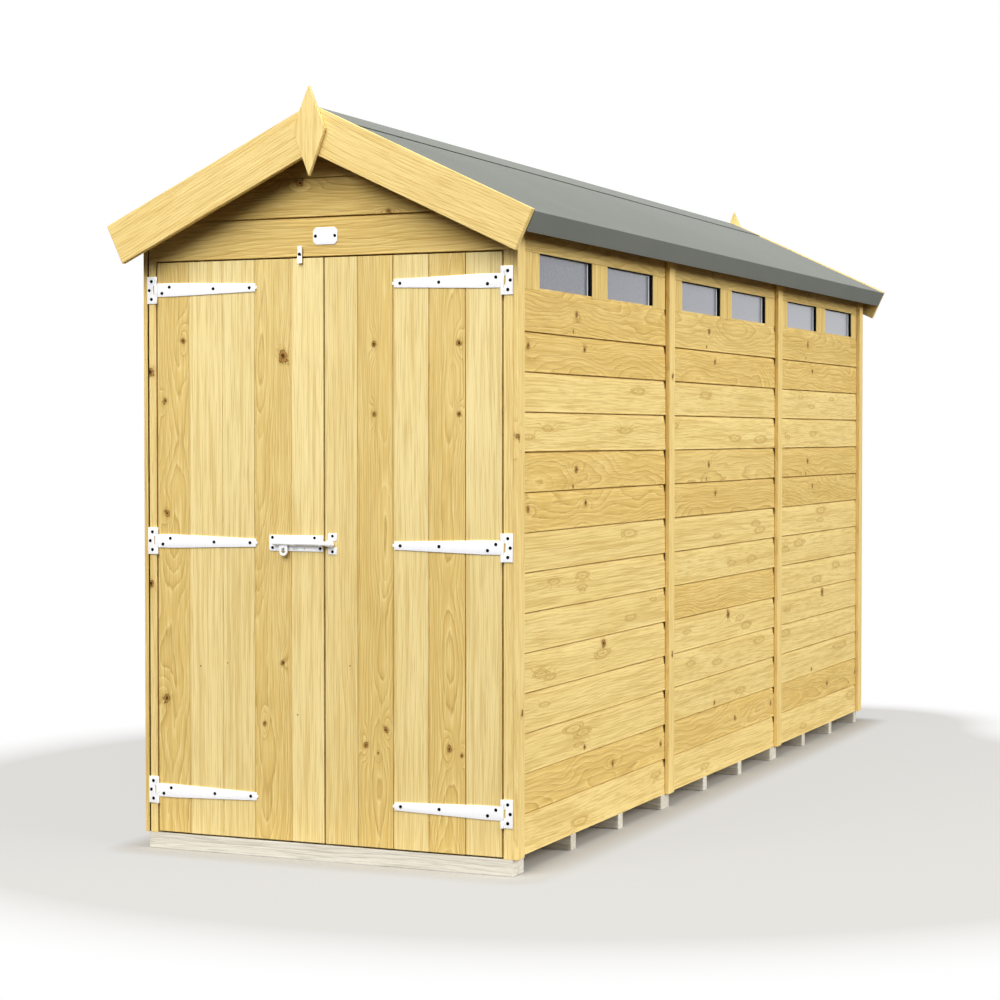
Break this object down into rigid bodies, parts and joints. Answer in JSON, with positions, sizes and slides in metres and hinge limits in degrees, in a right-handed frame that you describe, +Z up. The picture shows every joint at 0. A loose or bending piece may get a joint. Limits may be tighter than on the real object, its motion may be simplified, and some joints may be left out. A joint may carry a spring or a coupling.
{
  "type": "wooden garden shed",
  "caption": "Apex wooden garden shed with overlap boards, ledged double doors on T hinges, a bolt, high side windows and a felted roof.",
  "frame": {"origin": "centre of the shed's footprint over its roof ends, on the ground under the bearers", "axes": "+X to the right seen from the doors, +Y from the door gable towards the rear gable, +Z up"},
  "size_m": [1.2946, 3.8146, 2.1124],
  "materials": {
    "lap_board": "planed, pressure treated",
    "door_board": "planed, pressure treated",
    "trim_wood": "planed, pressure treated",
    "framing": "rough sawn",
    "floor_board": "planed",
    "roof_board": "rough sawn",
    "bearer_wood": "weathered pale",
    "felt": "mineral felt, matt",
    "glazing": "frosted",
    "zinc": "bright zinc plate",
    "screw_steel": "black"
  },
  "bodies": {
    "shed": {"floor_bearers": "bearer_wood", "floor_boards": "floor_board", "left_cladding_front": "lap_board", "left_cladding_middle": "lap_board", "left_cladding_rear": "lap_board", "left_wall_frame": "framing", "left_window_frames": "trim_wood", "left_window_panes": "glazing", "left_cover_strips": "trim_wood", "left_roof_board": "roof_board", "left_roof_felt": "felt", "left_barge_boards": "trim_wood", "right_cladding_front": "lap_board", "right_cladding_middle": "lap_board", "right_cladding_rear": "lap_board", "right_wall_frame": "framing", "right_window_frames": "trim_wood", "right_window_panes": "glazing", "right_cover_strips": "trim_wood", "right_roof_board": "roof_board", "right_roof_felt": "felt", "right_barge_boards": "trim_wood", "front_stiles": "trim_wood", "front_wall_frame": "framing", "front_gable_cladding": "lap_board", "rear_cladding": "lap_board", "rear_wall_frame": "framing", "roof_trusses": "framing", "roof_rails": "framing", "ridge_felt": "felt", "front_finial": "trim_wood", "rear_finial": "trim_wood", "hinge_plates": "zinc", "hinge_pins": "zinc", "turn_button_screw": "screw_steel", "blank_plate": "zinc"},
    "left_door": {"left_door_boards": "door_board", "left_door_ledges": "framing", "left_hinge_straps": "zinc", "bolt_plate": "zinc"},
    "right_door": {"right_door_boards": "door_board", "right_door_ledges": "framing", "right_hinge_straps": "zinc", "bolt_keep": "zinc"},
    "bolt": {"bolt_rod": "zinc"},
    "turn_button": {"turn_button": "zinc"}
  },
  "joints": [
    {"name": "left_door_hinge", "type": "hinge", "parent": "shed", "child": "left_door", "pos_m": [-0.5314, -1.8245, 0.874], "axis": [0, 0, -1], "range_deg": [0, 115]},
    {"name": "right_door_hinge", "type": "hinge", "parent": "shed", "child": "right_door", "pos_m": [0.5314, -1.8245, 0.874], "axis": [0, 0, 1], "range_deg": [0, 115]},
    {"name": "bolt_slide", "type": "slide", "parent": "left_door", "child": "bolt", "axis": [-1, 0, 0], "range_m": [0, 0.04]},
    {"name": "turn_button_pivot", "type": "hinge", "parent": "shed", "child": "turn_button", "pos_m": [-0.0713, -1.826, 1.668], "axis": [0, -1, 0], "range_deg": [0, 90]}
  ]
}
